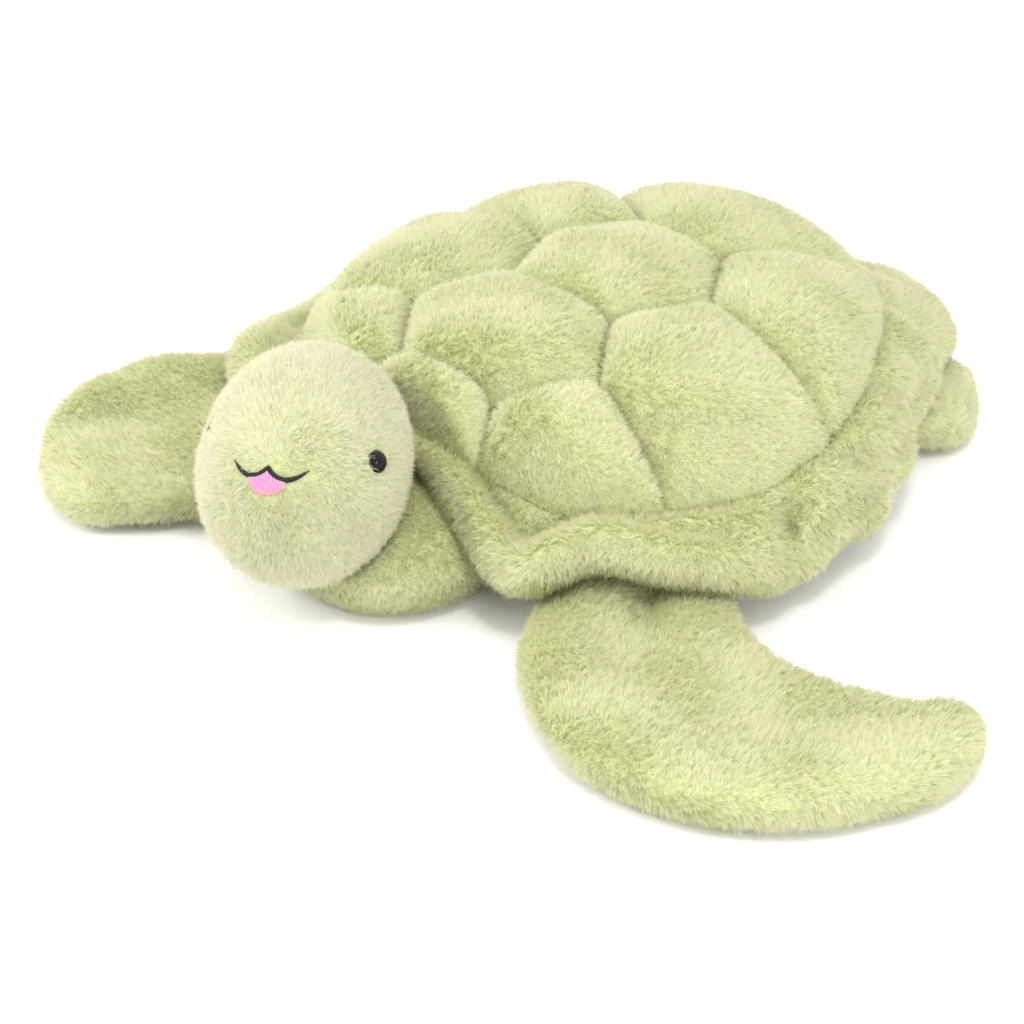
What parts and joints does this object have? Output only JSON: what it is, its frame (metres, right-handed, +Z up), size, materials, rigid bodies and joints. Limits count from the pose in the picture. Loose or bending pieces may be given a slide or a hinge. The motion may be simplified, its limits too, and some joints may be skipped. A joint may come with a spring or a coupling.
{
  "type": "plush turtle",
  "caption": "soft stuffed sea turtle lying on its belly, with a padded shell of joined pads, a floppy brim, a head that turns and nods, and flippers that lift",
  "frame": {"origin": "on the ground, under the middle of the shell, at the middle of the belly's flat", "axes": "+Z up, -Y towards the head end, +X the turtle's own left"},
  "size_m": [0.4735, 0.4208, 0.1023],
  "materials": {
    "plush": "deep-pile polyester faux fur, pale yellow green",
    "plush_pale": "deep-pile polyester faux fur, paler yellow green",
    "stuffing": "loose white polyester fibre",
    "lining": "plain woven cream cotton",
    "eye_black": "polished black",
    "washer_white": "plain moulded white",
    "thread_charcoal": "charcoal embroidery thread, satin stitch",
    "thread_pink": "pink embroidery thread, satin stitch"
  },
  "bodies": {
    "body": {"body_cover": "plush", "body_filling": "stuffing", "shell_lining": "lining", "left_costal_scute_1": "plush", "left_costal_scute_2": "plush", "left_costal_scute_3": "plush", "right_costal_scute_1": "plush", "right_costal_scute_2": "plush", "right_costal_scute_3": "plush", "vertebral_scute_1": "plush", "vertebral_scute_2": "plush", "vertebral_scute_3": "plush", "vertebral_scute_4": "plush", "shell_brim": "plush"},
    "neck": {"neck_cover": "plush", "neck_filling": "stuffing"},
    "head": {"head_cover": "plush_pale", "head_filling": "stuffing", "left_eye": "eye_black", "right_eye": "eye_black", "left_eye_washer": "washer_white", "right_eye_washer": "washer_white", "mouth_line": "thread_charcoal", "tongue_patch": "thread_pink"},
    "left_front_flipper": {"left_front_flipper_cover": "plush", "left_front_flipper_filling": "stuffing"},
    "left_rear_flipper": {"left_rear_flipper_cover": "plush", "left_rear_flipper_filling": "stuffing"},
    "right_front_flipper": {"right_front_flipper_cover": "plush", "right_front_flipper_filling": "stuffing"},
    "right_rear_flipper": {"right_rear_flipper_cover": "plush", "right_rear_flipper_filling": "stuffing"}
  },
  "joints": [
    {"name": "neck_turn", "type": "hinge", "parent": "body", "child": "neck", "pos_m": [0.008, -0.15, 0.02], "axis": [0, 0, 1], "range_deg": [-8, 30], "stiffness_Nm_per_rad": 0.05},
    {"name": "head_nod", "type": "hinge", "parent": "neck", "child": "head", "pos_m": [-0.002, -0.168, 0.048], "axis": [-0.8607, -0.509, 0], "range_deg": [0, 15], "stiffness_Nm_per_rad": 0.3, "springref_deg": -20.05},
    {"name": "left_front_flap", "type": "hinge", "parent": "body", "child": "left_front_flipper", "pos_m": [0.11496, -0.09634, 0.02511], "axis": [-0.66, -0.7513, 0], "range_deg": [0, 45], "deforming": ["shell_brim"]},
    {"name": "right_front_flap", "type": "hinge", "parent": "body", "child": "right_front_flipper", "pos_m": [-0.11637, -0.09757, 0.02511], "axis": [-0.66, 0.7513, 0], "range_deg": [0, 45]},
    {"name": "left_rear_flap", "type": "hinge", "parent": "body", "child": "left_rear_flipper", "pos_m": [0.08545, 0.08679, 0.02418], "axis": [0.6921, -0.7218, 0], "range_deg": [0, 45]},
    {"name": "right_rear_flap", "type": "hinge", "parent": "body", "child": "right_rear_flipper", "pos_m": [-0.10315, 0.10376, 0.02418], "axis": [0.6921, 0.7218, 0], "range_deg": [0, 45]}
  ]
}
